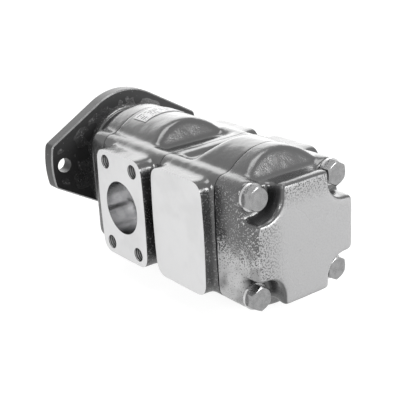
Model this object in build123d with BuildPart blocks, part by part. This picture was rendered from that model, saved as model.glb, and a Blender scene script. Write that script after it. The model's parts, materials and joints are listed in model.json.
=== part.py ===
from build123d import *

import os
from math import acos, cos, pi, radians, sin, sqrt, tan

# Tandem external gear pump with an SAE B two-bolt flange, in millimetres.
# X runs along the drive shaft from the mounting face to the rear cover, Z is up
# and the inlet looks along -Y. The origin is the pilot centre on the mounting face.

os.makedirs("parts", exist_ok=True)


# ------------------------------------------------------------------ mounting flange
# SAE J744 size B, two bolts
pilot_diameter = 101.6
pilot_height = 9.7
pilot_chamfer = 1.5
flange_thickness = 13.0
flange_hole_diameter = 14.3
flange_hole_spacing = 146.0
flange_waist_radius = 60.0
flange_end_margin = 13.5
flange_edge_slope = 30.0
flange_corner_radius = 6.0
flange_chamfer = 1.2

# ------------------------------------------------------------------ casting lengths
neck_length = 19.0
neck_radius = 40.0
cover_plate_thickness = 23.0
front_body_length = 89.5
rear_body_length = 75.5
rear_cover_length = 50.0

# ------------------------------------------------------------------ tie bolt square
tie_bolt_width = 84.7
tie_bolt_height = 84.8

# ------------------------------------------------------------------ casting section
side_margin = 22.4
top_margin = 24.4
bead_radius = 12.0
valley_radius = 3.0
deck_drop = 4.5
dome_radius = 52.3
dome_drop = 2.9
dome_base_height = 20.0
dome_edge_radius = 7.0
ridge_width = 11.0
ridge_drop = 0.6
ridge_radius = 3.5
plate_edge_radius = 2.5

# how far the crown of each dome stops short of the middle joint, and how far
# its end plane leans along X for each millimetre down
front_dome_setback = 34.3
steep_lean = 0.54
rear_dome_setback = 44.4
gentle_lean = 1.07
cover_dome_length = 14.0
cover_lean = 0.55

# ------------------------------------------------------------------ rear end block
pocket_depth = 19.0
pocket_radius = 17.5
end_side_step = 1.35
end_top_step = 2.6
end_corner_radius = 4.0
end_edge_radius = 2.5
end_ridge_width = 11.0
end_ridge_radius = 3.0

# ------------------------------------------------------------------ port pads
front_pad_length = 73.0
front_pad_setback = 42.3
rear_pad_margin = 1.75
pad_height = 100.0
pad_corner_radius = 11.0
pad_bow = 2.0
inlet_pad_reach = 68.3
blank_pad_reach = 64.8
outlet_pad_reach = 65.5

# SAE J518 code 61 ports: bore, bolt rectangle along X and Z, thread and its depth
inlet_bore = 49.0
inlet_bolts_x = 42.9
inlet_bolts_z = 77.8
inlet_thread = 12.7
inlet_thread_depth = 16.0
front_outlet_bore = 32.0
front_outlet_bolts_x = 30.2
front_outlet_bolts_z = 58.7
rear_outlet_bore = 25.4
rear_outlet_bolts_x = 26.2
rear_outlet_bolts_z = 52.4
outlet_thread = 10.0
outlet_thread_depth = 15.0
port_chamfer = 0.8
port_wall = 5.0
port_inset = 1.0
window_floor = 12.0
window_corner_radius = 5.0
inlet_window_height = 28.0
outlet_window_height = 20.0

# ------------------------------------------------------------------ gears
gear_centres = 42.0
gear_teeth = 10
gear_module = 4.0
pressure_angle = 20.0
gear_tip_radius = 24.9
gear_root_radius = 16.2
gear_backlash = 0.16
front_gear_width = 34.0
rear_gear_width = 24.0
inner_block_length = 16.0
journal_diameter = 24.0
journal_clearance = 0.03
journal_lead = 2.0
gear_side_clearance = 0.05
gear_tip_clearance = 0.08

# ------------------------------------------------------------------ drive shaft
# SAE J498 spline, 13 teeth, 16/32 pitch
spline_teeth = 13
spline_major_diameter = 21.8
spline_minor_diameter = 18.6
shaft_reach = 41.3
spline_length = 30.0
seal_journal_diameter = 22.0
shaft_hole_diameter = 26.0

# ------------------------------------------------------------------ shaft coupling
coupling_diameter = 28.0
coupling_length = 18.0
coupling_hole_clearance = 0.3
coupling_chamfer = 1.0
inner_major = 18.0
inner_minor = 15.2
spline_mouth = 0.5
spline_flank_angle = 30.0
spline_clearance = 0.06
shaft_end_gap = 0.6

# ------------------------------------------------------------------ bearings and seals
block_clearance = 0.04
bush_wall = 2.0
bush_fit = 0.01
bush_inset = 0.5
block_groove_inset = 3.0
block_groove_width = 2.0
block_groove_depth = 1.4
seal_gap = 0.02
shaft_seal_diameter = 44.0
shaft_seal_width = 8.0
shaft_seal_wall = 2.0
ring_thickness = 1.75
ring_width = 4.0
ring_groove_depth = 1.5
ring_gap_angle = 50.0
ring_gap_reach = 1.0
seal_front_face = -2.0
joint_groove_offset = 3.0
joint_groove_width = 2.4
joint_groove_depth = 1.8

# ------------------------------------------------------------------ fasteners
tie_bolt_diameter = 12.0
tie_bolt_across_flats = 19.0
tie_bolt_head_height = 7.5
head_chamfer = 1.0
head_chamfer_reach = 1.7
tie_bolt_engagement = 19.0
tie_bolt_tip_gap = 1.0
tie_bolt_hole = 13.0
tapped_hole = 12.1
washer_diameter = 23.0
washer_thickness = 2.5
dowel_diameter = 8.0
dowel_length = 15.0
dowel_hole_length = 16.0
dowel_hole = 8.04
dowel_offset_y = 43.0
dowel_offset_z = 24.0

# ------------------------------------------------------------------ galleries, label
gallery_diameter = 18.0
gallery_y = -34.0
gallery_lead = 18.0
gallery_seal_offset = 1.5
coupling_seal_offset = 4.0
label_length = 19.0
label_arc = 50.0
label_thickness = 0.7
label_gap = 0.02
label_setback = 6.5

# ------------------------------------------------------------------ worked-out places
plate_front = flange_thickness + neck_length
joint_a = plate_front + cover_plate_thickness
joint_b = joint_a + front_body_length
joint_c = joint_b + rear_body_length
end_face = joint_c + rear_cover_length
pocket_floor = end_face - pocket_depth

body_width = tie_bolt_width + side_margin
body_height = tie_bolt_height + top_margin
end_block_width = body_width - 2 * end_side_step
end_block_height = body_height - 2 * end_top_step
driven_z = -gear_centres
body_z = -gear_centres / 2
bead_y = body_width / 2 - bead_radius
bead_z = body_height / 2 - bead_radius
deck_half_height = body_height / 2 - deck_drop
upper_dome_z = -dome_drop
lower_dome_z = driven_z + dome_drop
pocket_half_width = tie_bolt_width / 2 - pocket_radius
pocket_half_height = tie_bolt_height / 2 - pocket_radius
pad_root = pocket_half_width + pocket_radius

front_pad_x = joint_b - front_pad_setback
rear_pad_x = (joint_b + joint_c) / 2
rear_pad_length = rear_body_length - 2 * rear_pad_margin
front_dome_end = joint_b - front_dome_setback
rear_dome_start = joint_b + rear_dome_setback
gallery_start = front_pad_x + gallery_lead
front_gears_start = front_pad_x - front_gear_width / 2
front_gears_end = front_pad_x + front_gear_width / 2
rear_gears_start = rear_pad_x - rear_gear_width / 2
rear_gears_end = rear_pad_x + rear_gear_width / 2
front_chamber_end = front_gears_end + inner_block_length
rear_chamber_start = rear_gears_start - inner_block_length
chamber_radius = gear_tip_radius + gear_tip_clearance
block_radius = chamber_radius - block_clearance

journal_radius = journal_diameter / 2
bush_bore_radius = journal_radius + journal_clearance
bush_radius = bush_bore_radius + bush_wall
coupling_radius = coupling_diameter / 2
coupling_hole_radius = coupling_radius + coupling_hole_clearance
seal_back_face = seal_front_face + shaft_seal_width
tie_bolt_tip = joint_a - tie_bolt_engagement
tapped_hole_floor = tie_bolt_tip - tie_bolt_tip_gap
washer_face = pocket_floor + washer_thickness

port_root = chamber_radius + port_wall
joint_groove_radius = chamber_radius + joint_groove_offset
spline_end = spline_length - shaft_reach
seal_journal_end = joint_a - journal_lead
coupling_middle = (front_chamber_end + rear_chamber_start) / 2
drive_tooth_angle = -90.0
driven_tooth_angle = 90.0 + 180.0 / gear_teeth

working_radius = gear_centres / 2
base_radius = gear_module * gear_teeth * cos(radians(pressure_angle)) / 2


# ------------------------------------------------------------------ shared profiles
def across(x, y=0.0, z=0.0):
    """Plane across the shaft: sketch x is Y and sketch y is Z."""
    return Plane(origin=(x, y, z), x_dir=(0, 1, 0), z_dir=(1, 0, 0))


def side_face(x, reach, side):
    """Plane of a pad face, side -1 for the inlet side and +1 for the outlet side."""
    return Plane(origin=(x, side * reach, body_z), x_dir=(-side, 0, 0), z_dir=(0, side, 0))


def involute(angle):
    """Involute function of an angle in radians."""
    return tan(angle) - angle


def tooth_half_angle(radius):
    """Half the angle that a tooth fills at a radius, in radians."""
    working_angle = acos(base_radius / working_radius)
    thickness = pi * working_radius / gear_teeth - gear_backlash / 2
    at_base = thickness / (2 * working_radius) + involute(working_angle)
    return at_base - involute(acos(min(1.0, base_radius / radius)))


def polar(radius, angle):
    """Sketch point at a radius and an angle in radians."""
    return (radius * cos(angle), radius * sin(angle))


def gear_outline(tooth_angle):
    """Closed outline of an involute gear with one tooth centred on an angle in degrees."""
    flank_steps = 4
    flank_radii = []
    for step in range(flank_steps + 1):
        flank_radii.append(base_radius + (gear_tip_radius - base_radius) * step / flank_steps)
    at_base = tooth_half_angle(base_radius)
    pitch = 2 * pi / gear_teeth
    for tooth in range(gear_teeth):
        middle = radians(tooth_angle) + tooth * pitch
        right = [polar(r, middle - tooth_half_angle(r)) for r in flank_radii]
        left = [polar(r, middle + tooth_half_angle(r)) for r in reversed(flank_radii)]
        root_right = polar(gear_root_radius, middle - at_base)
        root_left = polar(gear_root_radius, middle + at_base)
        next_root = polar(gear_root_radius, middle + pitch - at_base)
        Line(root_right, right[0])
        Spline(*right)
        ThreePointArc(right[-1], polar(gear_tip_radius, middle), left[0])
        Spline(*left)
        Line(left[-1], root_left)
        ThreePointArc(root_left, polar(gear_root_radius, middle + pitch / 2), next_root)


def figure_eight(radius, mode=Mode.ADD):
    """Two joined circles around the two gear axes."""
    with Locations((0, 0), (0, driven_z)):
        Circle(radius, mode=mode)


def spline_section(major, minor, teeth, growth):
    """Splined section; growth widens it on every side, for the sleeve around it."""
    depth = (major - minor) / 2
    middle_width = pi * (major + minor) / 4 / teeth
    flank_spread = depth * tan(radians(spline_flank_angle)) / 2
    floor_half = middle_width / 2 - flank_spread - growth
    mouth_half = middle_width / 2 + flank_spread - growth
    Circle(major / 2 + growth)
    with PolarLocations(major / 2, teeth):
        Polygon(
            (-depth + growth, -floor_half),
            (spline_mouth + growth, -mouth_half),
            (spline_mouth + growth, mouth_half),
            (-depth + growth, floor_half),
            align=None,
            mode=Mode.SUBTRACT,
        )


# ------------------------------------------------------------------ shared solids
def casting_section():
    """Section of the castings: flat sides, four corner beads and a lower deck between them."""
    with BuildSketch() as section:
        with Locations((0, body_z)):
            Rectangle(body_width, 2 * bead_z)
            Rectangle(2 * bead_y, 2 * deck_half_height)
            with GridLocations(2 * bead_y, 2 * bead_z, 2, 2):
                Circle(bead_radius)
    return section.sketch


def casting_block(start, end):
    """Length of the castings' section."""
    with BuildPart() as block:
        with BuildSketch(across(start)):
            add(casting_section())
        extrude(amount=end - start)
    return block.part


def dome(start, start_lean, end, end_lean, below=False):
    """Gear-housing dome: a cylinder segment between two planes that may lean outwards."""
    base = dome_base_height - upper_dome_z
    with BuildPart() as segment:
        with BuildSketch(Plane.XZ):
            Polygon(
                (start, dome_radius),
                (end, dome_radius),
                (end + end_lean * (dome_radius - base), base),
                (start - start_lean * (dome_radius - base), base),
                align=None,
            )
        extrude(amount=dome_radius, both=True)
        with BuildSketch(across(start - 2 * dome_radius)):
            Circle(dome_radius)
        extrude(amount=end - start + 4 * dome_radius, mode=Mode.INTERSECT)
        rims = segment.edges().filter_by(GeomType.ELLIPSE)
        if rims:
            fillet(rims, radius=dome_edge_radius)
    if below:
        return segment.part.mirror(Plane.XY).moved(Location((0, 0, lower_dome_z)))
    return segment.part.moved(Location((0, 0, upper_dome_z)))


def ridge(start, end, half_width, half_height, rounded_x, radius):
    """Cross ridge above and below a casting, with one long edge of each rounded."""
    with BuildPart() as bar:
        with BuildSketch(Plane.XZ.shift_origin((0, 0, body_z))):
            with Locations(((start + end) / 2, 0)):
                Rectangle(end - start, 2 * half_height)
        extrude(amount=half_width, both=True)
        long_edges = bar.edges().filter_by(Axis.Y)
        fillet(long_edges.filter_by_position(Axis.X, rounded_x - 1, rounded_x + 1), radius)
    return bar.part


def port_pad(x, length, reach, side):
    """Machined port pad on one side of a body."""
    with BuildPart() as pad:
        with BuildSketch(side_face(x, reach, side)) as outline:
            with BuildLine():
                end = length / 2 - pad_bow
                top = pad_height / 2
                Line((-end, top), (end, top))
                ThreePointArc((end, top), (end + pad_bow, 0), (end, -top))
                Line((end, -top), (-end, -top))
                ThreePointArc((-end, -top), (-end - pad_bow, 0), (-end, top))
            make_face()
            fillet(outline.vertices(), pad_corner_radius)
        extrude(amount=pad_root - reach)
    return pad.part


def port_cut(x, reach, side, bore, window, bolts, thread, thread_depth):
    """Everything a flanged port takes out of a body: bore, inner window and tapped holes."""
    with BuildPart() as cut:
        with BuildSketch(side_face(x, reach, side)):
            Circle(bore / 2)
        extrude(amount=port_root - reach)
        with BuildSketch(side_face(x, port_root, side)):
            RectangleRounded(*window, window_corner_radius)
        extrude(amount=window_floor - port_root)
        with BuildSketch(side_face(x, reach, side)):
            with GridLocations(*bolts, 2, 2):
                Circle(thread / 2)
        extrude(amount=-thread_depth)
    return cut.part


def bore_mouth(pad_face):
    """Edge of the bore in a pad face: the longest of its inner edges."""
    return pad_face.inner_wires().sort_by(SortBy.LENGTH)[-1].edges()


def gear(start, width, z, tooth_angle):
    """Toothed part of a gear, on the shaft axis or on the driven axis."""
    with BuildPart() as wheel:
        with BuildSketch(across(start, 0, z)):
            with BuildLine():
                gear_outline(tooth_angle)
            make_face()
        extrude(amount=width)
    return wheel.part


def round_bar(start, end, radius, y=0.0, z=0.0):
    """Plain round bar along X."""
    with BuildPart() as bar:
        with BuildSketch(across(start, y, z)):
            Circle(radius)
        extrude(amount=end - start)
    return bar.part


def splined_bar(start, end, major, minor, growth=0.0):
    """Splined bar along the drive shaft."""
    with BuildPart() as bar:
        with BuildSketch(across(start)):
            spline_section(major, minor, spline_teeth, growth)
        extrude(amount=end - start)
    return bar.part


def chamber(start, end):
    """Figure-eight hole for a pair of gears and their bearing blocks."""
    with BuildPart() as hole:
        with BuildSketch(across(start)):
            figure_eight(chamber_radius)
        extrude(amount=end - start)
    return hole.part


def bearing_block(start, end, outer_face):
    """Figure-eight block with two bush holes and a seal groove in its outer face."""
    inward = 1 if outer_face == start else -1
    with BuildPart() as block:
        with BuildSketch(across(start)):
            figure_eight(block_radius)
            figure_eight(bush_radius + bush_fit, mode=Mode.SUBTRACT)
        extrude(amount=end - start)
        with BuildSketch(across(outer_face)):
            figure_eight(block_radius - block_groove_inset)
            figure_eight(block_radius - block_groove_inset - block_groove_width, mode=Mode.SUBTRACT)
        extrude(amount=inward * block_groove_depth, mode=Mode.SUBTRACT)
    return block.part


def bush_pair(start, end):
    """Two plain bearing bushes, one on each gear axis."""
    with BuildPart() as pair:
        with BuildSketch(across(start)):
            figure_eight(bush_radius)
            figure_eight(bush_bore_radius, mode=Mode.SUBTRACT)
        extrude(amount=end - start)
    return pair.part


def block_seal(outer_face, inward):
    """Pressure seal in the outer face of a bearing block."""
    outer = block_radius - block_groove_inset - seal_gap
    with BuildPart() as seal:
        with BuildSketch(across(outer_face)):
            figure_eight(outer)
            figure_eight(outer - block_groove_width + 2 * seal_gap, mode=Mode.SUBTRACT)
        extrude(amount=inward * (block_groove_depth - seal_gap))
    return seal.part


def joint_ring(start, length, inner, width, pair=False, y=0.0, z=0.0):
    """Ring or figure-eight band, for a joint seal or for its groove."""
    centres = [(0, 0), (0, driven_z)] if pair else [(0, 0)]
    with BuildPart() as ring:
        with BuildSketch(across(start, y, z)):
            with Locations(*centres):
                Circle(inner + width)
            with Locations(*centres):
                Circle(inner, mode=Mode.SUBTRACT)
        extrude(amount=length)
    return ring.part


def joint_pair_ring(start, gap):
    """Band around both gear axes, with a gap on each side for the seal itself."""
    width = joint_groove_width - 2 * gap
    return joint_ring(start, joint_groove_depth, joint_groove_radius + gap, width, True)


def coupling_ring(start, gap):
    """Ring around the coupling hole, with a gap on each side for the seal itself."""
    inner = coupling_hole_radius + coupling_seal_offset + gap
    return joint_ring(start, joint_groove_depth, inner, joint_groove_width - 2 * gap)


def gallery_ring(start, gap):
    """Ring around the inlet gallery, with a gap on each side for the seal itself."""
    inner = gallery_diameter / 2 + gallery_seal_offset + gap
    width = joint_groove_width - 2 * gap
    return joint_ring(start, joint_groove_depth, inner, width, False, gallery_y, body_z)


def tie_bolt_holes(start, end, diameter):
    """Four bolt holes along a casting."""
    with BuildPart() as holes:
        with BuildSketch(across(start, 0, body_z)):
            with GridLocations(tie_bolt_width, tie_bolt_height, 2, 2):
                Circle(diameter / 2)
        extrude(amount=end - start)
    return holes.part


def dowels(joint, diameter, length):
    """The two dowels that line up a joint, on opposite corners."""
    with BuildPart() as pins:
        with BuildSketch(across(joint - length / 2, 0, body_z)):
            with Locations((-dowel_offset_y, dowel_offset_z), (dowel_offset_y, -dowel_offset_z)):
                Circle(diameter / 2)
        extrude(amount=length)
    return pins.part


def finish(piece, name):
    """Label a piece and write it."""
    piece.label = name
    export_step(piece, "parts/" + name + ".step")


# ------------------------------------------------------------------ front cover
with BuildPart() as cover_plate:
    with BuildSketch(across(plate_front)) as plate_section:
        add(casting_section())
        with Locations((0, upper_dome_z), (0, lower_dome_z)):
            Circle(dome_radius)
        bead_middle = bead_z + bead_radius / 2
        valleys = plate_section.vertices().filter_by(lambda v: abs(v.Y - body_z) > bead_middle)
        fillet(valleys, valley_radius)
    extrude(amount=cover_plate_thickness)
    fillet(cover_plate.faces().sort_by(Axis.X)[0].edges(), plate_edge_radius)

with BuildPart() as front_cover:
    with BuildSketch(across(0)) as flange_outline:
        with BuildLine():
            waist_z = flange_waist_radius / cos(radians(flange_edge_slope))
            end_y = flange_waist_radius / sin(radians(flange_edge_slope))
            Polyline((0, waist_z), (end_y, 0), (0, -waist_z), (-end_y, 0), close=True)
        make_face()
        waist_corners = flange_outline.vertices().sort_by(Axis.Y)
        fillet([waist_corners[0], waist_corners[-1]], flange_waist_radius)
        Circle(flange_hole_spacing / 2 + flange_end_margin, mode=Mode.INTERSECT)
        ends = flange_outline.vertices().group_by(SortBy.DISTANCE)[-1]
        fillet(ends, flange_corner_radius)
        with GridLocations(flange_hole_spacing, 0, 2, 1):
            Circle(flange_hole_diameter / 2, mode=Mode.SUBTRACT)
    extrude(amount=flange_thickness)
    chamfer(front_cover.faces().sort_by(Axis.X)[-1].outer_wire().edges(), flange_chamfer)
    with BuildSketch(across(0)):
        Circle(pilot_diameter / 2)
    extrude(amount=-pilot_height)
    chamfer(front_cover.faces().sort_by(Axis.X)[0].edges(), pilot_chamfer)
    with BuildSketch(across(flange_thickness)):
        figure_eight(neck_radius)
        with Locations((0, body_z)):
            Rectangle(2 * neck_radius, gear_centres)
    extrude(amount=neck_length)
    add(cover_plate.part)
    add(round_bar(-pilot_height, seal_back_face, shaft_seal_diameter / 2), mode=Mode.SUBTRACT)
    add(round_bar(-pilot_height, joint_a, shaft_hole_diameter / 2), mode=Mode.SUBTRACT)
    ring_groove = seal_front_face - ring_thickness
    ring_groove_radius = shaft_seal_diameter / 2 + ring_groove_depth
    add(round_bar(ring_groove, seal_front_face, ring_groove_radius), mode=Mode.SUBTRACT)
    add(tie_bolt_holes(tapped_hole_floor, joint_a, tapped_hole), mode=Mode.SUBTRACT)
    add(dowels(joint_a, dowel_hole, dowel_hole_length), mode=Mode.SUBTRACT)
    add(joint_pair_ring(joint_a - joint_groove_depth, 0), mode=Mode.SUBTRACT)
finish(front_cover.part, "front_cover")

# ------------------------------------------------------------------ front gear housing
front_inlet_window = (front_gear_width, inlet_window_height)
front_outlet_window = (front_gear_width, outlet_window_height)
with BuildPart() as front_body:
    add(casting_block(joint_a, joint_b))
    add(dome(joint_a, 0, front_dome_end, steep_lean))
    add(dome(joint_a, 0, front_dome_end, steep_lean, below=True))
    front_ridge = joint_b - ridge_width
    add(ridge(front_ridge, joint_b, bead_y, body_height / 2 - ridge_drop, front_ridge, ridge_radius))
    add(port_pad(front_pad_x, front_pad_length, inlet_pad_reach, -1))
    add(port_pad(front_pad_x, front_pad_length, outlet_pad_reach, 1))
    add(chamber(joint_a, front_chamber_end), mode=Mode.SUBTRACT)
    add(round_bar(front_chamber_end, joint_b, coupling_hole_radius), mode=Mode.SUBTRACT)
    add(
        port_cut(front_pad_x, inlet_pad_reach, -1, inlet_bore, front_inlet_window,
                 (inlet_bolts_x, inlet_bolts_z), inlet_thread, inlet_thread_depth),
        mode=Mode.SUBTRACT,
    )
    add(
        port_cut(front_pad_x, outlet_pad_reach, 1, front_outlet_bore, front_outlet_window,
                 (front_outlet_bolts_x, front_outlet_bolts_z), outlet_thread, outlet_thread_depth),
        mode=Mode.SUBTRACT,
    )
    add(round_bar(gallery_start, joint_b, gallery_diameter / 2, gallery_y, body_z), mode=Mode.SUBTRACT)
    add(tie_bolt_holes(joint_a, joint_b, tie_bolt_hole), mode=Mode.SUBTRACT)
    add(dowels(joint_a, dowel_hole, dowel_hole_length), mode=Mode.SUBTRACT)
    add(dowels(joint_b, dowel_hole, dowel_hole_length), mode=Mode.SUBTRACT)
    chamfer(bore_mouth(front_body.faces().sort_by(Axis.Y)[0]), port_chamfer)
    chamfer(bore_mouth(front_body.faces().sort_by(Axis.Y)[-1]), port_chamfer)
finish(front_body.part, "front_body")

# ------------------------------------------------------------------ rear gear housing
rear_outlet_window = (rear_gear_width - 2 * port_inset, outlet_window_height)
with BuildPart() as rear_body:
    add(casting_block(joint_b, joint_c))
    add(dome(rear_dome_start, gentle_lean, joint_c, 0))
    add(dome(rear_dome_start, gentle_lean, joint_c, 0, below=True))
    rear_ridge = joint_b + ridge_width
    add(ridge(joint_b, rear_ridge, bead_y, body_height / 2 - ridge_drop, rear_ridge, ridge_radius))
    add(port_pad(rear_pad_x, rear_pad_length, blank_pad_reach, -1))
    add(port_pad(rear_pad_x, rear_pad_length, outlet_pad_reach, 1))
    add(chamber(rear_chamber_start, joint_c), mode=Mode.SUBTRACT)
    add(round_bar(joint_b, rear_chamber_start, coupling_hole_radius), mode=Mode.SUBTRACT)
    add(
        port_cut(rear_pad_x, outlet_pad_reach, 1, rear_outlet_bore, rear_outlet_window,
                 (rear_outlet_bolts_x, rear_outlet_bolts_z), outlet_thread, outlet_thread_depth),
        mode=Mode.SUBTRACT,
    )
    add(round_bar(joint_b, rear_gears_end, gallery_diameter / 2, gallery_y, body_z), mode=Mode.SUBTRACT)
    with BuildSketch(side_face(rear_pad_x, -gallery_y, -1)):
        Rectangle(rear_gear_width, gallery_diameter)
    extrude(amount=window_floor + gallery_y, mode=Mode.SUBTRACT)
    add(tie_bolt_holes(joint_b, joint_c, tie_bolt_hole), mode=Mode.SUBTRACT)
    add(dowels(joint_b, dowel_hole, dowel_hole_length), mode=Mode.SUBTRACT)
    add(dowels(joint_c, dowel_hole, dowel_hole_length), mode=Mode.SUBTRACT)
    add(coupling_ring(joint_b, 0), mode=Mode.SUBTRACT)
    add(gallery_ring(joint_b, 0), mode=Mode.SUBTRACT)
    chamfer(bore_mouth(rear_body.faces().sort_by(Axis.Y)[-1]), port_chamfer)
finish(rear_body.part, "rear_body")

# ------------------------------------------------------------------ rear cover
with BuildPart() as end_block:
    with BuildSketch(across(pocket_floor, 0, body_z)) as cross:
        Rectangle(2 * pocket_half_width, 2 * deck_half_height)
        Rectangle(end_block_width, 2 * pocket_half_height)
        inner_corners = cross.vertices().group_by(SortBy.DISTANCE)[0]
        fillet(inner_corners, pocket_radius)
        fillet(cross.vertices().group_by(SortBy.DISTANCE)[-1], end_corner_radius)
    extrude(amount=pocket_depth)
    end_ridge = end_face - end_ridge_width
    add(ridge(end_ridge, end_face, pocket_half_width, end_block_height / 2, end_ridge, end_ridge_radius))
    fillet(end_block.faces().sort_by(Axis.X)[-1].edges(), end_edge_radius)

with BuildPart() as rear_cover:
    add(casting_block(joint_c, pocket_floor))
    add(end_block.part)
    cover_dome_end = joint_c + cover_dome_length
    add(dome(joint_c, 0, cover_dome_end, cover_lean))
    add(dome(joint_c, 0, cover_dome_end, cover_lean, below=True))
    add(tie_bolt_holes(joint_c, pocket_floor, tie_bolt_hole), mode=Mode.SUBTRACT)
    add(dowels(joint_c, dowel_hole, dowel_hole_length), mode=Mode.SUBTRACT)
    add(joint_pair_ring(joint_c, 0), mode=Mode.SUBTRACT)
finish(rear_cover.part, "rear_cover")

# ------------------------------------------------------------------ tie bolts and washers
with BuildPart() as head_rounding:
    with BuildSketch(across(washer_face)):
        Circle(tie_bolt_across_flats / sqrt(3))
    extrude(amount=tie_bolt_head_height)
    top_edge = head_rounding.edges().sort_by(Axis.X)[-1]
    chamfer(top_edge, length=head_chamfer, length2=head_chamfer_reach)

with BuildPart() as bolt_head:
    with BuildSketch(across(washer_face)):
        RegularPolygon(tie_bolt_across_flats / 2, 6, major_radius=False, rotation=30)
    extrude(amount=tie_bolt_head_height)
    add(head_rounding.part, mode=Mode.INTERSECT)

with BuildPart() as tie_bolts:
    with BuildSketch(across(tie_bolt_tip, 0, body_z)):
        with GridLocations(tie_bolt_width, tie_bolt_height, 2, 2):
            Circle(tie_bolt_diameter / 2)
    extrude(amount=washer_face - tie_bolt_tip)
    for y in (-tie_bolt_width / 2, tie_bolt_width / 2):
        for z in (body_z - tie_bolt_height / 2, body_z + tie_bolt_height / 2):
            add(bolt_head.part.moved(Location((0, y, z))))
finish(tie_bolts.part, "tie_bolts")

with BuildPart() as tie_bolt_washers:
    with BuildSketch(across(pocket_floor, 0, body_z)):
        with GridLocations(tie_bolt_width, tie_bolt_height, 2, 2):
            Circle(washer_diameter / 2)
            Circle(tie_bolt_hole / 2, mode=Mode.SUBTRACT)
    extrude(amount=washer_thickness)
finish(tie_bolt_washers.part, "tie_bolt_washers")

# ------------------------------------------------------------------ label plate
with BuildPart() as label_plate:
    with BuildSketch(across(joint_a + label_setback, 0, upper_dome_z)):
        with BuildLine():
            first = 90 - label_arc / 2
            inner = CenterArc((0, 0), dome_radius + label_gap, first, label_arc)
            outer = CenterArc((0, 0), dome_radius + label_gap + label_thickness, first, label_arc)
            Line(inner @ 0, outer @ 0)
            Line(inner @ 1, outer @ 1)
        make_face()
    extrude(amount=label_length)
finish(label_plate.part, "label_plate")

# ------------------------------------------------------------------ gears and drive shaft
inner_shaft_end = coupling_middle - shaft_end_gap / 2
with BuildPart() as front_drive_gear:
    add(gear(front_gears_start, front_gear_width, 0, drive_tooth_angle))
    add(round_bar(seal_journal_end, front_chamber_end - journal_lead, journal_radius))
    add(round_bar(spline_end, seal_journal_end, seal_journal_diameter / 2))
    add(splined_bar(-shaft_reach, spline_end, spline_major_diameter, spline_minor_diameter))
    add(splined_bar(front_chamber_end - journal_lead, inner_shaft_end, inner_major, inner_minor))
finish(front_drive_gear.part, "front_drive_gear")

with BuildPart() as rear_drive_gear:
    add(gear(rear_gears_start, rear_gear_width, 0, drive_tooth_angle))
    add(round_bar(rear_chamber_start + journal_lead, joint_c - journal_lead, journal_radius))
    rear_shaft_end = coupling_middle + shaft_end_gap / 2
    add(splined_bar(rear_shaft_end, rear_chamber_start + journal_lead, inner_major, inner_minor))
finish(rear_drive_gear.part, "rear_drive_gear")

with BuildPart() as shaft_coupling:
    coupling_start = coupling_middle - coupling_length / 2
    coupling_end = coupling_middle + coupling_length / 2
    add(round_bar(coupling_start, coupling_end, coupling_radius))
    chamfer(shaft_coupling.edges().filter_by(GeomType.CIRCLE), coupling_chamfer)
    add(
        splined_bar(coupling_start, coupling_end, inner_major, inner_minor, spline_clearance),
        mode=Mode.SUBTRACT,
    )
finish(shaft_coupling.part, "shaft_coupling")

with BuildPart() as front_driven_gear:
    add(gear(front_gears_start, front_gear_width, driven_z, driven_tooth_angle))
    add(round_bar(joint_a + journal_lead, front_chamber_end - journal_lead, journal_radius, 0, driven_z))
finish(front_driven_gear.part, "front_driven_gear")

with BuildPart() as rear_driven_gear:
    add(gear(rear_gears_start, rear_gear_width, driven_z, driven_tooth_angle))
    add(round_bar(rear_chamber_start + journal_lead, joint_c - journal_lead, journal_radius, 0, driven_z))
finish(rear_driven_gear.part, "rear_driven_gear")

# ------------------------------------------------------------------ bearing blocks
front_block_end = front_gears_start - gear_side_clearance
front_inner_start = front_gears_end + gear_side_clearance
rear_inner_end = rear_gears_start - gear_side_clearance
rear_block_start = rear_gears_end + gear_side_clearance
finish(bearing_block(joint_a, front_block_end, joint_a), "front_section_front_bearing_block")
finish(
    bearing_block(front_inner_start, front_chamber_end, front_chamber_end),
    "front_section_rear_bearing_block",
)
finish(
    bearing_block(rear_chamber_start, rear_inner_end, rear_chamber_start),
    "rear_section_front_bearing_block",
)
finish(bearing_block(rear_block_start, joint_c, joint_c), "rear_section_rear_bearing_block")

with BuildPart() as front_section_bushes:
    add(bush_pair(joint_a + bush_inset, front_block_end - bush_inset))
    add(bush_pair(front_inner_start + bush_inset, front_chamber_end - bush_inset))
finish(front_section_bushes.part, "front_section_bushes")

with BuildPart() as rear_section_bushes:
    add(bush_pair(rear_chamber_start + bush_inset, rear_inner_end - bush_inset))
    add(bush_pair(rear_block_start + bush_inset, joint_c - bush_inset))
finish(rear_section_bushes.part, "rear_section_bushes")

with BuildPart() as front_section_seals:
    add(block_seal(joint_a, 1))
    add(block_seal(front_chamber_end, -1))
finish(front_section_seals.part, "front_section_pressure_seals")

with BuildPart() as rear_section_seals:
    add(block_seal(rear_chamber_start, 1))
    add(block_seal(joint_c, -1))
finish(rear_section_seals.part, "rear_section_pressure_seals")

# ------------------------------------------------------------------ shaft seal and its ring
with BuildPart() as shaft_seal:
    with BuildSketch(Plane.XZ):
        with BuildLine():
            outer = shaft_seal_diameter / 2
            lip = seal_journal_diameter / 2 + journal_clearance
            Polyline(
                (seal_front_face, outer),
                (seal_back_face, outer),
                (seal_back_face, outer - shaft_seal_wall),
                (seal_front_face + shaft_seal_wall, outer - shaft_seal_wall),
                (seal_front_face + shaft_seal_wall, lip + shaft_seal_wall),
                (seal_back_face - shaft_seal_wall, lip + shaft_seal_wall),
                (seal_back_face - shaft_seal_wall, lip),
                (seal_front_face, lip),
                close=True,
            )
        make_face()
    revolve(axis=Axis.X)
finish(shaft_seal.part, "shaft_seal")

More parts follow.
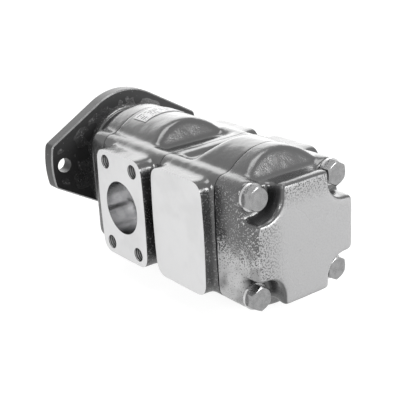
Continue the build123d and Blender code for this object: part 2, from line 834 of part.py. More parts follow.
with BuildPart() as seal_retaining_ring:
    with BuildSketch(across(seal_front_face - ring_thickness)):
        ring_outer = shaft_seal_diameter / 2 + ring_groove_depth
        Circle(ring_outer)
        Circle(ring_outer - ring_width, mode=Mode.SUBTRACT)
        with BuildLine():
            gap_start = -90 - ring_gap_angle / 2
            ring_gap = CenterArc((0, 0), ring_outer + ring_gap_reach, gap_start, ring_gap_angle)
            Line((0, 0), ring_gap @ 0)
            Line((0, 0), ring_gap @ 1)
        make_face(mode=Mode.SUBTRACT)
    extrude(amount=ring_thickness)
finish(seal_retaining_ring.part, "seal_retaining_ring")

# ------------------------------------------------------------------ joint seals and dowels
finish(joint_pair_ring(joint_a - joint_groove_depth, seal_gap), "front_joint_seal")
finish(joint_pair_ring(joint_c, seal_gap), "rear_joint_seal")

with BuildPart() as middle_joint_seals:
    add(coupling_ring(joint_b, seal_gap))
    add(gallery_ring(joint_b, seal_gap))
finish(middle_joint_seals.part, "middle_joint_seals")

for joint, place in ((joint_a, "front"), (joint_b, "middle"), (joint_c, "rear")):
    finish(dowels(joint, dowel_diameter, dowel_length), place + "_joint_dowels")
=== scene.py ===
import json
import math

import bmesh
import bpy
from mathutils import Matrix, Vector


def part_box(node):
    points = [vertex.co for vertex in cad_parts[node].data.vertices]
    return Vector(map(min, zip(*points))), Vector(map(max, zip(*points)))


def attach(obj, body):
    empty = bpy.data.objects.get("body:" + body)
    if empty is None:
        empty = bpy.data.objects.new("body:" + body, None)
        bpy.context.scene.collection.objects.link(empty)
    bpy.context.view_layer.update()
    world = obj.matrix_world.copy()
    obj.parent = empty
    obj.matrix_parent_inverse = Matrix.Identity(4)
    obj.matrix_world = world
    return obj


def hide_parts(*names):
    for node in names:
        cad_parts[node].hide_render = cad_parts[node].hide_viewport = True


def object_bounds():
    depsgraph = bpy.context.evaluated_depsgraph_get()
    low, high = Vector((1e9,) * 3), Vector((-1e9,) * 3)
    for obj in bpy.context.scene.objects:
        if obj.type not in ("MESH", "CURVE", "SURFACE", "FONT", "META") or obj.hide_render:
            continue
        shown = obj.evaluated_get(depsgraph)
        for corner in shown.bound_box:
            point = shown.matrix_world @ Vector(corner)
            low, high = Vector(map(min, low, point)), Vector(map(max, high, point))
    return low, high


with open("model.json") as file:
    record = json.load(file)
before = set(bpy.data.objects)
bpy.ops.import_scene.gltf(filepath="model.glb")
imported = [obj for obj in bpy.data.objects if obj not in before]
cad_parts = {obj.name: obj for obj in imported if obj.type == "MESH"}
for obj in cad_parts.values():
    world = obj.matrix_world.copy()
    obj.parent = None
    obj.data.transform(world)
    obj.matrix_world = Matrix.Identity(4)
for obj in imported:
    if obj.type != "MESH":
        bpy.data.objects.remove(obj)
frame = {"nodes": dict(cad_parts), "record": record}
cadBox = [list(corner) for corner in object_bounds()]
mm = 0.001
print("frame loaded")

# places shared by several pieces, read from the frame
nodes = frame["nodes"]
mounts = {mount["name"]: mount for mount in frame["record"]["mounts"]}
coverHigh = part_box("front_cover")[1]
endLow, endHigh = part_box("rear_cover")

# how every casting is skinned, cut and drilled
skinLook = {
    "weld": 0.01 * mm,  # loose triangles closer than this are merged
    "flatness": 0.02 * mm,  # how far a corner may be off a machined plane
    "voxel": 1.1 * mm,
    "melt": 56,
    "meltFactor": 0.5,
    "waveSize": 12.0 * mm,
    "waveHeight": 0.35 * mm,
    "allowance": 4.0 * mm,
    "jointGap": 0.35 * mm,
    "cutDistance": 1e-7,
    "boreGrowth": 0.1 * mm,
    "boreLead": 6 * mm,
    "boreSides": 72,
    "plugMargin": 1.6 * mm,
    "plugSides": 48,
}


def mergedCopy(node):
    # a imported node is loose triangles, so its copy is merged before any work
    bm = bmesh.new()
    bm.from_mesh(nodes[node].data)
    bmesh.ops.remove_doubles(bm, verts=bm.verts, dist=skinLook["weld"])
    return bm


def newObject(bm, name):
    mesh = bpy.data.meshes.new(name)
    bm.to_mesh(mesh)
    bm.free()
    thing = bpy.data.objects.new(name, mesh)
    bpy.context.scene.collection.objects.link(thing)
    return thing


def bakeModifiers(thing):
    graph = bpy.context.evaluated_depsgraph_get()
    mesh = bpy.data.meshes.new_from_object(thing.evaluated_get(graph))
    thing.modifiers.clear()
    thing.data = mesh


def dropObject(thing):
    mesh = thing.data
    bpy.data.objects.remove(thing)
    bpy.data.meshes.remove(mesh)


def dress(thing, *materials):
    for material in materials:
        thing.data.materials.append(material)


def pushPlane(bm, axis, place, amount):
    # machining allowance: moves a flat face out, so that it can be cut back clean
    for vert in bm.verts:
        if abs(vert.co[axis] - place) < skinLook["flatness"]:
            vert.co[axis] += amount


def cutOuter(bm, place, normal):
    # drops everything past the plane and returns the cut's edges and points
    cut = bmesh.ops.bisect_plane(
        bm, geom=bm.verts[:] + bm.edges[:] + bm.faces[:], dist=skinLook["cutDistance"],
        plane_co=place, plane_no=normal, clear_outer=True)
    return cut["geom_cut"]


def cutFlat(bm, axis, place, side, material):
    # machines a flat face: cuts everything past the plane and closes the cut
    normal = Vector((0, 0, 0))
    normal[axis] = side
    spot = Vector((0, 0, 0))
    spot[axis] = place
    rim = [part for part in cutOuter(bm, spot, normal) if isinstance(part, bmesh.types.BMEdge)]
    for edge in rim:
        edge.smooth = False
    filled = bmesh.ops.triangle_fill(bm, use_beauty=True, edges=rim, normal=normal)
    for part in filled["geom"]:
        if isinstance(part, bmesh.types.BMFace):
            part.material_index = material
            part.smooth = False


def addBar(bm, start, end, radius, sides):
    # closed round bar between two points, returned as its new faces
    start, end = Vector(start), Vector(end)
    turn = Vector((0, 0, 1)).rotation_difference(end - start).to_matrix().to_4x4()
    made = bmesh.ops.create_cone(
        bm, cap_ends=True, cap_tris=False, segments=sides,
        radius1=radius, radius2=radius, depth=(end - start).length,
        matrix=Matrix.Translation((start + end) / 2) @ turn)
    return {face for vert in made["verts"] for face in vert.link_faces}


def castSkin(bm, name):
    # voxel skin over the rough shape, melted a little, as a sand casting is
    thing = newObject(bm, name)
    remesh = thing.modifiers.new("skin", "REMESH")
    remesh.mode = "VOXEL"
    remesh.voxel_size = skinLook["voxel"]
    remesh.use_smooth_shade = True
    melt = thing.modifiers.new("melt", "SMOOTH")
    melt.iterations = skinLook["melt"]
    melt.factor = skinLook["meltFactor"]
    sand = bpy.data.textures.new("sandWaves", "CLOUDS")
    sand.noise_scale = skinLook["waveSize"]
    sand.noise_depth = 2
    wave = thing.modifiers.new("waves", "DISPLACE")
    wave.texture = sand
    wave.texture_coords = "LOCAL"
    wave.strength = skinLook["waveHeight"]
    wave.mid_level = 0.5
    bakeModifiers(thing)
    return thing


def drill(thing, holes, material):
    # each hole is (start, end, radius), cut as a clean bore
    for start, end, radius in holes:
        bm = bmesh.new()
        for face in addBar(bm, start, end, radius, skinLook["boreSides"]):
            face.material_index = material
            face.smooth = len(face.verts) == 4
        cutter = newObject(bm, "cutter")
        dress(cutter, *thing.data.materials)
        cut = thing.modifiers.new("drill", "BOOLEAN")
        cut.operation = "DIFFERENCE"
        cut.solver = "EXACT"
        cut.object = cutter
        bakeModifiers(thing)
        dropObject(cutter)


def sharpen(thing, angle):
    # marks edges between faces that meet at more than the angle
    bm = bmesh.new()
    bm.from_mesh(thing.data)
    for edge in bm.edges:
        if len(edge.link_faces) == 2 and edge.calc_face_angle(0) > angle:
            edge.smooth = False
    bm.to_mesh(thing.data)
    bm.free()


def feed(tree, socket, value):
    # a socket takes a link from another socket, or else a fixed value
    if isinstance(value, bpy.types.NodeSocket):
        tree.links.new(value, socket)
    else:
        socket.default_value = value


def addNode(tree, kind, **values):
    # values are the node's own settings or its sockets, by name
    node = tree.nodes.new(kind)
    for key, value in values.items():
        if hasattr(node, key):
            setattr(node, key, value)
        else:
            feed(tree, node.inputs[key], value)
    return node


def newMaterial(name):
    material = bpy.data.materials.new(name)
    material.use_nodes = True
    tree = material.node_tree
    shader = next(node for node in tree.nodes if node.type == "BSDF_PRINCIPLED")
    return material, tree, shader


def newGroup(name, inputs, outputs):
    # empty group with named sockets, returned with its entry sockets and its exit node
    group = bpy.data.node_groups.new(name, "ShaderNodeTree")
    for direction, sockets in (("INPUT", inputs), ("OUTPUT", outputs)):
        for socket, kind in sockets.items():
            group.interface.new_socket(socket, in_out=direction, socket_type="NodeSocket" + kind)
    return group, group.nodes.new("NodeGroupInput").outputs, group.nodes.new("NodeGroupOutput")


def range01(tree, span, source):
    # smooth step of a value over the span
    step = addNode(tree, "ShaderNodeMapRange", interpolation_type="SMOOTHSTEP")
    step.inputs[1].default_value, step.inputs[2].default_value = span
    tree.links.new(source, step.inputs[0])
    return step.outputs[0]


def combine(tree, operation, first, second=0.0):
    node = addNode(tree, "ShaderNodeMath", operation=operation)
    feed(tree, node.inputs[0], first)
    feed(tree, node.inputs[1], second)
    return node.outputs[0]


def mixTones(tree, share, first, second):
    # a share of 0 gives the first colour and 1 the second
    mix = addNode(tree, "ShaderNodeMix", data_type="RGBA")
    tree.links.new(share, mix.inputs[0])
    feed(tree, mix.inputs[6], first)
    feed(tree, mix.inputs[7], second)
    return mix


def readAxes(tree, kind, output):
    # X, Y and Z of a place or of a normal
    source = tree.nodes.new(kind)
    parts = tree.nodes.new("ShaderNodeSeparateXYZ")
    tree.links.new(source.outputs[output], parts.inputs[0])
    return parts.outputs


def addNoise(tree, scale, detail, roughness, stretch=None):
    # noise that stays on the piece, drawn out along its axes by stretch
    place = tree.nodes.new("ShaderNodeTexCoord").outputs["Object"]
    if stretch is not None:
        place = addNode(tree, "ShaderNodeMapping", Vector=place, Scale=stretch).outputs[0]
    noise = addNode(
        tree, "ShaderNodeTexNoise", Vector=place, Scale=scale, Detail=detail, Roughness=roughness)
    return noise.outputs["Fac"]


def finishSurface(tree, shader, look, rough, height, depth):
    # roughness and relief of a finish, from its two patterns
    gloss = addNode(tree, "ShaderNodeMapRange")
    gloss.inputs[3].default_value, gloss.inputs[4].default_value = look["gloss"]
    bump = addNode(tree, "ShaderNodeBump", Strength=look["bump"], Distance=depth, Height=height)
    tree.links.new(rough, gloss.inputs[0])
    tree.links.new(gloss.outputs[0], shader.inputs["Roughness"])
    tree.links.new(bump.outputs[0], shader.inputs["Normal"])
    shader.inputs["Metallic"].default_value = look["metallic"]
    return bump


peelLook = {
    "topSlope": (0.12, 0.6),  # how far upwards a face looks before its paint is calm
    "patchSize": 40.0,
    "patchEdge": (0.3, 0.62),
    "patchLeast": 0.45,
    "speckLevel": 0.72,
    "speckFade": (0.0, 0.1),
}


def buildCastGroup():
    # orange peel of thick paint on a sand casting, calmer where it settled on upward faces
    group, entry, leave = newGroup(
        "castPeel",
        {"Peel Size": "Float", "Speck Share": "Float", "Top Calm": "Float"},
        {"Height": "Float", "Speck": "Float", "Rough": "Float"})
    normal = readAxes(group, "ShaderNodeNewGeometry", "Normal")
    peel = addNoise(group, entry["Peel Size"], 1.0, 0.5)
    patches = addNoise(group, peelLook["patchSize"], 2.0, 0.5)
    top = range01(group, peelLook["topSlope"], normal["Z"])
    rough = combine(group, "SUBTRACT", 1.0, combine(group, "MULTIPLY", top, entry["Top Calm"]))
    patchy = range01(group, peelLook["patchEdge"], patches)
    uneven = combine(group, "MAXIMUM", patchy, peelLook["patchLeast"])
    patchRough = combine(group, "MULTIPLY", rough, uneven)
    # the Speck output marks the pale specks on the peel's crests, painted glints, fewer on upward faces
    start = combine(group, "SUBTRACT", peelLook["speckLevel"], entry["Speck Share"])
    above = range01(group, peelLook["speckFade"], combine(group, "SUBTRACT", peel, start))
    fade = combine(group, "MULTIPLY", patchRough, rough)
    feed(group, leave.inputs["Height"], combine(group, "MULTIPLY", peel, patchRough))
    feed(group, leave.inputs["Speck"], combine(group, "MULTIPLY", above, fade))
    feed(group, leave.inputs["Rough"], patchRough)
    return group


castGroup = buildCastGroup()


def castPaint(name, look):
    # paint over a casting, with pale specks on the crests of its peel as painted glints
    material, tree, shader = newMaterial(name)
    peel = addNode(tree, "ShaderNodeGroup", node_tree=castGroup, **{
        "Peel Size": look["peelSize"],
        "Speck Share": look["glintSpeckShare"],
        "Top Calm": look["topCalm"],
    })
    tone = mixTones(tree, peel.outputs["Speck"], look["paint"], look["crest"])
    tree.links.new(tone.outputs[2], shader.inputs["Base Color"])
    bump = finishSurface(
        tree, shader, look, peel.outputs["Rough"], peel.outputs["Height"], look["bumpDepth"])
    shader.inputs["IOR"].default_value = look["ior"]
    return material, tree, shader, peel, tone, bump


marksLook = {
    "stainEdge": (0.38, 0.62),
    "reliefDepth": 0.1 * mm,
}


def buildMarksGroup():
    # tool marks drawn out along one axis, and a few stains
    group, entry, leave = newGroup(
        "metalMarks",
        {"Grain": "Vector", "Stain Size": "Float"},
        {"Mark": "Float", "Stain": "Float"})
    marks = addNoise(group, 1.0, 4.0, 0.6, entry["Grain"])
    stains = addNoise(group, entry["Stain Size"], 3.0, 0.6)
    feed(group, leave.inputs["Mark"], marks)
    feed(group, leave.inputs["Stain"], range01(group, marksLook["stainEdge"], stains))
    return group


marksGroup = buildMarksGroup()


def metalFinish(name, look):
    # bare metal, or rubber, with its marks and stains
    material, tree, shader = newMaterial(name)
    marks = addNode(tree, "ShaderNodeGroup", node_tree=marksGroup, **{
        "Grain": look["grain"],
        "Stain Size": look["stainSize"],
    })
    tone = mixTones(tree, marks.outputs["Stain"], look["dark"], look["light"])
    tree.links.new(tone.outputs[2], shader.inputs["Base Color"])
    mark = marks.outputs["Mark"]
    finishSurface(tree, shader, look, mark, mark, marksLook["reliefDepth"])
    return material


housingLook = {
    "peelSize": 620.0,
    "glintSpeckShare": 0.14,
    "topCalm": 0.95,
    "paint": (0.026, 0.026, 0.0265, 1),
    # pale specks on the peel's crests, painted glints
    "crest": (0.34, 0.34, 0.343, 1),
    "gloss": (0.2, 0.36),
    "bump": 0.65,
    "bumpDepth": 0.8 * mm,
    "metallic": 0.0,
    "ior": 1.9,
}
coverLook = {
    "peelSize": 620.0,
    "glintSpeckShare": 0.1,
    "topCalm": 0.95,
    "paint": (0.026, 0.026, 0.0265, 1),
    # pale specks on the peel's crests, painted glints
    "crest": (0.3, 0.3, 0.303, 1),
    "gloss": (0.2, 0.36),
    "bump": 0.6,
    "bumpDepth": 0.7 * mm,
    "metallic": 0.0,
    "ior": 1.9,
}
flangeLook = {
    "peelSize": 380.0,
    "glintSpeckShare": 0.0,
    "topCalm": 0.5,
    "paint": (0.026, 0.026, 0.0265, 1),
    # pale specks on the peel's crests, painted glints
    "crest": (0.3, 0.3, 0.303, 1),
    "gloss": (0.38, 0.4),
    "bump": 0.05,
    "bumpDepth": 0.4 * mm,
    "metallic": 0.0,
    "ior": 1.45,
}
milledLook = {
    "grain": (900.0, 60.0, 200.0),
    "stainSize": 25.0,
    "dark": (0.6, 0.6, 0.603, 1),
    "light": (0.65, 0.65, 0.653, 1),
    "gloss": (0.3, 0.4),
    "bump": 0.04,
    "metallic": 0.85,
}
boreLook = {
    "grain": (1200.0, 1200.0, 60.0),
    "stainSize": 60.0,
    "dark": (0.66, 0.66, 0.665, 1),
    "light": (0.8, 0.8, 0.805, 1),
    "gloss": (0.12, 0.24),
    "bump": 0.05,
    "metallic": 1.0,
}
zincLook = {
    "grain": (500.0, 500.0, 500.0),
    "stainSize": 180.0,
    "dark": (0.24, 0.24, 0.242, 1),
    "light": (0.29, 0.29, 0.292, 1),
    "gloss": (0.22, 0.32),
    "bump": 0.05,
    "metallic": 1.0,
}
washerLook = {
    "grain": (500.0, 500.0, 500.0),
    "stainSize": 160.0,
    "dark": (0.45, 0.45, 0.453, 1),
    "light": (0.55, 0.55, 0.553, 1),
    "gloss": (0.22, 0.32),
    "bump": 0.05,
    "metallic": 1.0,
}
gearLook = {
    "grain": (1500.0, 80.0, 80.0),
    "stainSize": 90.0,
    "dark": (0.45, 0.45, 0.46, 1),
    "light": (0.62, 0.62, 0.63, 1),
    "gloss": (0.16, 0.3),
    "bump": 0.08,
    "metallic": 1.0,
}
blockLook = {
    "grain": (900.0, 200.0, 200.0),
    "stainSize": 70.0,
    "dark": (0.6, 0.6, 0.62, 1),
    "light": (0.75, 0.75, 0.77, 1),
    "gloss": (0.25, 0.4),
    "bump": 0.1,
    "metallic": 1.0,
}
bushLook = {
    "grain": (900.0, 200.0, 200.0),
    "stainSize": 120.0,
    "dark": (0.45, 0.3, 0.13, 1),
    "light": (0.62, 0.45, 0.22, 1),
    "gloss": (0.25, 0.42),
    "bump": 0.1,
    "metallic": 1.0,
}
springLook = {
    "grain": (700.0, 700.0, 700.0),
    "stainSize": 200.0,
    "dark": (0.05, 0.05, 0.052, 1),
    "light": (0.11, 0.11, 0.115, 1),
    "gloss": (0.35, 0.5),
    "bump": 0.1,
    "metallic": 0.8,
}
rubberLook = {
    "grain": (600.0, 600.0, 600.0),
    "stainSize": 150.0,
    "dark": (0.012, 0.012, 0.012, 1),
    "light": (0.03, 0.03, 0.03, 1),
    "gloss": (0.5, 0.7),
    "bump": 0.15,
    "metallic": 0.0,
}
housingPaint = castPaint("housingPaint", housingLook)[0]
coverPaint = castPaint("coverPaint", coverLook)[0]
flangePaint = castPaint("flangePaint", flangeLook)[0]
# dark finish on the milled joint faces, painted shade in the gaps between the castings
jointGapShade = metalFinish("jointGapShade", springLook)
milledIron = metalFinish("milledIron", milledLook)
boredIron = metalFinish("boredIron", boreLook)
zincPlate = metalFinish("zincPlate", zincLook)
washerZinc = metalFinish("washerZinc", washerLook)
gearSteel = metalFinish("gearSteel", gearLook)
blockAlloy = metalFinish("blockAlloy", blockLook)
bushBronze = metalFinish("bushBronze", bushLook)
springSteel = metalFinish("springSteel", springLook)
sealRubber = metalFinish("sealRubber", rubberLook)

endLook = {
    "peelSize": 800.0,
    "glintSpeckShare": 0.14,
    "topCalm": 0.6,
    "paint": (0.03, 0.03, 0.031, 1),
    # pale specks on the peel's crests, painted glints
    "crest": (0.65, 0.65, 0.653, 1),
    "gloss": (0.18, 0.38),
    "bump": 0.45,
    "bumpDepth": 0.7 * mm,
    "metallic": 0.0,
    "ior": 1.9,
    # more of the painted glint specks towards the foot, and only on the inlet side
    "lowShare": 0.3,  # specks added towards the foot
    "lowFade": (0.0, -50 * mm),
    "speckSide": (-44 * mm, -50 * mm),  # specks only on the inlet side
    # painted sheen of the flat end, a paler tone where it faces along X
    "face": (0.42, 0.42, 0.424, 1),
    "sheenFaceSlope": (0.75, 0.97),
    "faceDepth": 3 * mm,
    "faceCalm": 0.8,
    "pit": (0.05, 0.05, 0.051, 1),
    "pitSize": 700.0,
    "pitDepth": (0.49, 0.57),
    "pitSide": (-18 * mm, -46 * mm),
    "pitTop": (4 * mm, 28 * mm),
    "pitElsewhere": 0.1,
}


def endCoverPaintAndSheen():
    # the flat end of the rear cover gets a paler tone, a painted sheen, broken by dark sand pits along its
    # inlet side and its top
    material, tree, shader, peel, tone, bump = castPaint("endPaintAndSheen", endLook)
    normal = readAxes(tree, "ShaderNodeNewGeometry", "Normal")
    spot = readAxes(tree, "ShaderNodeTexCoord", "Object")
    lower = range01(tree, endLook["lowFade"], spot["Z"])
    extra = combine(tree, "MULTIPLY", lower, endLook["lowShare"])
    feed(tree, peel.inputs["Speck Share"], combine(tree, "ADD", endLook["glintSpeckShare"], extra))
    outer = range01(tree, endLook["speckSide"], spot["Y"])
    feed(tree, tone.inputs[0], combine(tree, "MULTIPLY", peel.outputs["Speck"], outer))
    left = range01(tree, endLook["pitSide"], spot["Y"])
    upper = range01(tree, endLook["pitTop"], spot["Z"])
    edges = combine(tree, "MAXIMUM", left, upper)
    sand = addNoise(tree, endLook["pitSize"], 2.0, 0.6)
    pitted = combine(tree, "MAXIMUM", edges, endLook["pitElsewhere"])
    pits = combine(tree, "MULTIPLY", range01(tree, endLook["pitDepth"], sand), pitted)
    # the pale painted sheen of the flat end, with its dark sand pits
    flat = mixTones(tree, pits, endLook["face"], endLook["pit"])
    # mask of the flat end facing along X, where the painted sheen goes and the bump is calmer
    sheenFaceMask = combine(
        tree, "MULTIPLY", range01(tree, endLook["sheenFaceSlope"], normal["X"]),
        combine(tree, "GREATER_THAN", spot["X"], endHigh.x - endLook["faceDepth"]))
    whole = mixTones(tree, sheenFaceMask, tone.outputs[2], flat.outputs[2])
    feed(tree, shader.inputs["Base Color"], whole.outputs[2])
    calm = combine(tree, "MULTIPLY", sheenFaceMask, endLook["faceCalm"])
    calmer = combine(tree, "SUBTRACT", 1.0, calm)
    feed(tree, bump.inputs["Height"], combine(tree, "MULTIPLY", peel.outputs["Height"], calmer))
    return material


endPaintAndSheen = endCoverPaintAndSheen()

threadLook = {
    "pitch": 2.0 * mm,
    # near-black painted shade in the thread roots
    "rootShade": (0.03, 0.03, 0.031, 1),
    "metal": (0.65, 0.65, 0.653, 1),
    "gloss": 0.35,
    "bump": 0.9,
    "depth": 1.0 * mm,
}


def threadFinish():
    # tapped holes run along Y, so rings along Y stand for their threads, with painted shade in their roots
    material, tree, shader = newMaterial("threadIron")
    spot = readAxes(tree, "ShaderNodeTexCoord", "Object")
    turns = combine(tree, "FRACT", combine(tree, "DIVIDE", spot["Y"], threadLook["pitch"]))
    height = combine(tree, "PINGPONG", turns, 0.5)
    bump = addNode(
        tree, "ShaderNodeBump", Strength=threadLook["bump"], Distance=threadLook["depth"], Height=height)
    crest = combine(tree, "MULTIPLY", height, 2.0)
    tone = mixTones(tree, crest, threadLook["rootShade"], threadLook["metal"])
    tree.links.new(tone.outputs[2], shader.inputs["Base Color"])
    tree.links.new(bump.outputs[0], shader.inputs["Normal"])
    shader.inputs["Metallic"].default_value = 1.0
    shader.inputs["Roughness"].default_value = threadLook["gloss"]
    return material


threadIron = threadFinish()
print("materials made")

# bore and tapped holes of each port; the centre and the hole pattern come from its mount
portLook = {
    "inlet": {"boreRadius": 24.5 * mm, "boreDepth": 38 * mm, "holeDepth": 16 * mm},
    "front_outlet": {"boreRadius": 16 * mm, "boreDepth": 35 * mm, "holeDepth": 15 * mm},
    "rear_outlet": {"boreRadius": 12.7 * mm, "boreDepth": 35 * mm, "holeDepth": 15 * mm},
}


def portHoles(port):
    # the bore comes first, then its four tapped holes
    look = portLook[port]
    pattern = mounts[port + "_bolts"]
    centre = Vector(pattern["pos_m"])
    out = Vector(pattern["axis"])
    dims = pattern["dims"]
    grow = skinLook["boreGrowth"]
    lead = out * skinLook["boreLead"]
    holes = [(centre + lead, centre - out * look["boreDepth"], look["boreRadius"] + grow)]
    for alongX in (-0.5, 0.5):
        for alongZ in (-0.5, 0.5):
            shift = Vector((alongX * dims["spacing_x_mm"], 0, alongZ * dims["spacing_y_mm"])) * mm
            spot = centre + shift
            holes.append((spot + lead, spot - out * look["holeDepth"], dims["hole_r_mm"] * mm + grow))
    return holes


def makeHousing(node, name, portNames):
    # one gear housing: cast skin, milled joint and pad faces, clean ports; the joint faces are dark,
    # painted shade in the gaps
    low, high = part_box(node)
    ports = [portHoles(port) for port in portNames]
    rough = mergedCopy(node)
    extra = skinLook["allowance"]
    for axis in (0, 1):
        pushPlane(rough, axis, low[axis], -extra)
        pushPlane(rough, axis, high[axis], extra)
    for holes in ports:
        for start, end, radius in holes:
            addBar(rough, start, end, radius + skinLook["plugMargin"], skinLook["plugSides"])
    thing = castSkin(rough, name)
    bm = bmesh.new()
    bm.from_mesh(thing.data)
    gap = skinLook["jointGap"]
    milled, bored, joint, thread = 1, 2, 3, 4  # order of the materials below, after the paint
    cutFlat(bm, 1, low.y, -1, milled)
    cutFlat(bm, 1, high.y, 1, milled)
    # the joint faces take the dark joint finish, painted shade in the gap
    cutFlat(bm, 0, low.x + gap, -1, joint)
    cutFlat(bm, 0, high.x - gap, 1, joint)
    bm.to_mesh(thing.data)
    bm.free()
    dress(thing, housingPaint, milledIron, boredIron, jointGapShade, threadIron)
    for bore, *tapped in ports:
        drill(thing, [bore], bored)
        drill(thing, tapped, thread)
    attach(thing, "housing")
    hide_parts(node)
    print(name, "made,", len(thing.data.polygons), "faces")


makeHousing("front_body", "frontHousing", ["inlet", "front_outlet"])
makeHousing("rear_body", "rearHousing", ["rear_outlet"])


def makeEndCover():
    rough = mergedCopy("rear_cover")
    pushPlane(rough, 0, endLow.x, -skinLook["allowance"])
    thing = castSkin(rough, "endCover")
    bm = bmesh.new()
    bm.from_mesh(thing.data)
    for vert in bm.verts:
        # the waves never lift the end face past its CAD place
        vert.co.x = min(vert.co.x, endHigh.x)
    # the joint face takes the dark joint finish, painted shade in the gap
    cutFlat(bm, 0, endLow.x + skinLook["jointGap"], -1, 1)
    bm.to_mesh(thing.data)
    bm.free()
    dress(thing, endPaintAndSheen, jointGapShade)
    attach(thing, "housing")
    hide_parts("rear_cover")
    print("endCover made,", len(thing.data.polygons), "faces")


makeEndCover()

frontCoverLook = {
    "flangeBack": 13.0 * mm,
    "overlap": 1 * mm,  # flange kept past its back, inside the casting
    "castStart": 2 * mm,  # the casting starts this far inside the flange
    "pilotReach": 52 * mm,
    "faceDepth": 0.05 * mm,
    "chamferDepth": 2 * mm,
    "chamferSlope": (0.3, 0.9),
    "crease": math.radians(25),
}


def makeFrontCover():
    # the milled flange keeps its crisp edges, and the casting behind it is melted
    back = frontCoverLook["flangeBack"]
    rough = mergedCopy("front_cover")
    pushPlane(rough, 0, coverHigh.x, skinLook["allowance"])
    flange = rough.copy()
    cutOuter(flange, (back + frontCoverLook["overlap"], 0, 0), (1, 0, 0))
    thing = castSkin(rough, "frontCover")
    bm = bmesh.new()
    bm.from_mesh(thing.data)
    # the joint face takes the dark joint finish, painted shade in the gap
    cutFlat(bm, 0, coverHigh.x - skinLook["jointGap"], 1, 1)
    cutFlat(bm, 0, back - frontCoverLook["castStart"], -1, 1)
    bm.to_mesh(thing.data)
    bm.free()
    dress(thing, coverPaint, jointGapShade)
    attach(thing, "housing")
    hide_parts("front_cover")
    plate = newObject(flange, "mountingFlange")
    sharpen(plate, frontCoverLook["crease"])
    dress(plate, flangePaint, milledIron, zincPlate)
    slopeLow, slopeHigh = frontCoverLook["chamferSlope"]
    for face in plate.data.polygons:
        face.use_smooth = True
        middle = face.center
        reach = Vector((middle.y, middle.z)).length
        if middle.x < frontCoverLook["faceDepth"] and reach < frontCoverLook["pilotReach"]:
            face.material_index = 1  # milled pilot and shaft bore
        if back - frontCoverLook["chamferDepth"] < middle.x < back and slopeLow < face.normal.x < slopeHigh:
            face.material_index = 2  # bare chamfer round the back
    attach(plate, "housing")
    print("frontCover made,", len(thing.data.polygons), "faces")


makeFrontCover()

labelLook = {
    "plate": (0.6, 0.6, 0.603, 1),
    "print": (0.05, 0.05, 0.051, 1),
    "border": 1.3 * mm,
    "rowPitch": 3.4 * mm,
    "rowShare": 0.42,
    "breakSize": 260.0,
    "breakShare": 0.47,
    "gloss": 0.45,
}


def makeLabelPlate():
    # printed plate: pale border and plain dark rows, broken up by noise
    material, tree, shader = newMaterial("labelPlate")
    low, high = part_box("label_plate")
    spot = readAxes(tree, "ShaderNodeTexCoord", "Object")
    rim = labelLook["border"]
    bands = []
    for index, axis in enumerate("XY"):
        enter = combine(tree, "GREATER_THAN", spot[axis], low[index] + rim)
        leave = combine(tree, "LESS_THAN", spot[axis], high[index] - rim)
        bands.append(combine(tree, "MULTIPLY", enter, leave))
    inside = combine(tree, "MULTIPLY", *bands)
    rows = combine(tree, "FRACT", combine(tree, "DIVIDE", spot["X"], labelLook["rowPitch"]))
    lines = combine(tree, "LESS_THAN", rows, labelLook["rowShare"])
    breaks = addNoise(tree, labelLook["breakSize"], 1.0, 0.5)
    broken = combine(tree, "GREATER_THAN", breaks, labelLook["breakShare"])
    printed = combine(tree, "MULTIPLY", combine(tree, "MULTIPLY", inside, lines), broken)
    tone = mixTones(tree, printed, labelLook["plate"], labelLook["print"])
    tree.links.new(tone.outputs[2], shader.inputs["Base Color"])
    shader.inputs["Roughness"].default_value = labelLook["gloss"]
    return material


finishes = {
    "tie_bolts": zincPlate,
    "tie_bolt_washers": washerZinc,
    "label_plate": makeLabelPlate(),
    "front_drive_gear": gearSteel,
    "front_driven_gear": gearSteel,
    "shaft_coupling": gearSteel,
    "rear_drive_gear": gearSteel,
    "rear_driven_gear": gearSteel,
    "front_section_front_bearing_block": blockAlloy,
    "front_section_rear_bearing_block": blockAlloy,
    "rear_section_front_bearing_block": blockAlloy,
    "rear_section_rear_bearing_block": blockAlloy,
    "front_section_bushes": bushBronze,
    "rear_section_bushes": bushBronze,
    "front_section_pressure_seals": sealRubber,
    "rear_section_pressure_seals": sealRubber,
    "shaft_seal": sealRubber,
    "seal_retaining_ring": springSteel,
    "front_joint_seal": sealRubber,
    "middle_joint_seals": sealRubber,
    "rear_joint_seal": sealRubber,
    "front_joint_dowels": springSteel,
    "middle_joint_dowels": springSteel,
    "rear_joint_dowels": springSteel,
}
for nodeName, material in finishes.items():
    node = nodes[nodeName]
    if node.material_slots:
        for materialSlot in node.material_slots:
            materialSlot.material = material
    else:
        node.data.materials.append(material)
print("small parts dressed")

stageLook = {
    "floorSize": 6.0,
    "floorGap": 0.3 * mm,
    "floorColour": (0.3, 0.3, 0.3, 1),
    "floorGlow": 0.88,
    "floorRoughness": 0.9,
    "white": (1.0, 1.0, 1.0, 1),
    "skyFill": 0.2,
}


def seenShare(tree):
    # 1 for what the camera sees, straight, mirrored or through glass; 0 for light on surfaces
    path = tree.nodes.new("ShaderNodeLightPath")
    shiny = combine(tree, "MAXIMUM", path.outputs["Is Glossy Ray"], path.outputs["Is Transmission Ray"])
    return combine(tree, "MAXIMUM", path.outputs["Is Camera Ray"], shiny)


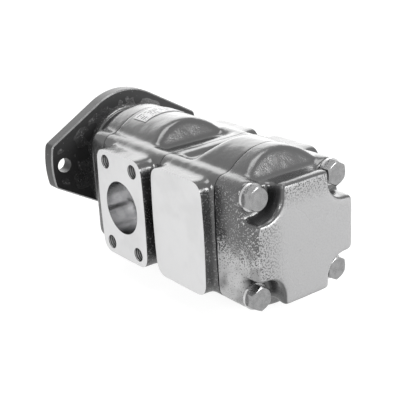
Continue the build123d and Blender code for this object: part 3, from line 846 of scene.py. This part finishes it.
def makeFloor():
    bm = bmesh.new()
    bmesh.ops.create_grid(bm, x_segments=1, y_segments=1, size=stageLook["floorSize"] / 2)
    bmesh.ops.translate(bm, verts=bm.verts, vec=(0, 0, cadBox[0][2] - stageLook["floorGap"]))
    floor = newObject(bm, "floor")
    material, tree, shader = newMaterial("floorPaper")
    shader.inputs["Base Color"].default_value = stageLook["floorColour"]
    shader.inputs["Roughness"].default_value = stageLook["floorRoughness"]
    shader.inputs["Specular IOR Level"].default_value = 0.0
    shader.inputs["Emission Color"].default_value = stageLook["white"]
    glow = combine(tree, "MULTIPLY", seenShare(tree), stageLook["floorGlow"])
    tree.links.new(glow, shader.inputs["Emission Strength"])
    dress(floor, material)


def makeSky():
    world = bpy.data.worlds.new("studioRoom")
    bpy.context.scene.world = world
    world.use_nodes = True
    tree = world.node_tree
    back = next(node for node in tree.nodes if node.type == "BACKGROUND")
    back.inputs["Color"].default_value = stageLook["white"]
    tree.links.new(combine(tree, "MAXIMUM", seenShare(tree), stageLook["skyFill"]), back.inputs["Strength"])


lamps = [
    {"name": "backPanel", "size": (3.2, 1.7), "power": 39.0,
     "place": (-1.7, 1.2, 0.8), "aim": (0.1, 0, 0)},
    {"name": "overheadPanel", "size": (1.0, 0.8), "power": 9.0,
     "place": (0.0, 0.1, 1.5), "aim": (0.12, 0, 0)},
    {"name": "inletPanel", "size": (0.8, 0.6), "power": 15.0,
     "place": (0.3, -1.6, 0.75), "aim": (0.15, 0, 0)},
    {"name": "endPanel", "size": (0.7, 0.7), "power": 18.0,
     "place": (1.5, 0.45, 0.55), "aim": (0.27, 0, -0.02)},
]


def makeLamps():
    for look in lamps:
        data = bpy.data.lights.new(look["name"], "AREA")
        data.shape = "RECTANGLE"
        data.size, data.size_y = look["size"]
        data.energy = look["power"]
        lamp = bpy.data.objects.new(look["name"], data)
        place = Vector(look["place"])
        lamp.location = place
        lamp.rotation_euler = (Vector(look["aim"]) - place).to_track_quat("-Z", "Y").to_euler()
        bpy.context.scene.collection.objects.link(lamp)


cameraLook = {
    "place": (0.77748, -0.479981, 0.275244),
    "sight": (-0.753822, 0.557101, -0.348412),
    "right": (0.609458, 0.790987, -0.053853),
    "lens": 84.697,
    "sensor": 36.0,
}


def makeCamera():
    sight = Vector(cameraLook["sight"]).normalized()
    right = Vector(cameraLook["right"]).normalized()
    up = right.cross(sight)
    turn = Matrix((right, up, -sight)).transposed().to_4x4()
    data = bpy.data.cameras.new("camera")
    data.lens = cameraLook["lens"]
    data.sensor_width = cameraLook["sensor"]
    camera = bpy.data.objects.new("camera", data)
    camera.matrix_world = Matrix.Translation(cameraLook["place"]) @ turn
    bpy.context.scene.collection.objects.link(camera)
    bpy.context.scene.camera = camera


makeFloor()
makeSky()
makeLamps()
makeCamera()
bpy.context.scene.view_settings.view_transform = "Standard"
print("stage, lamps and camera made")
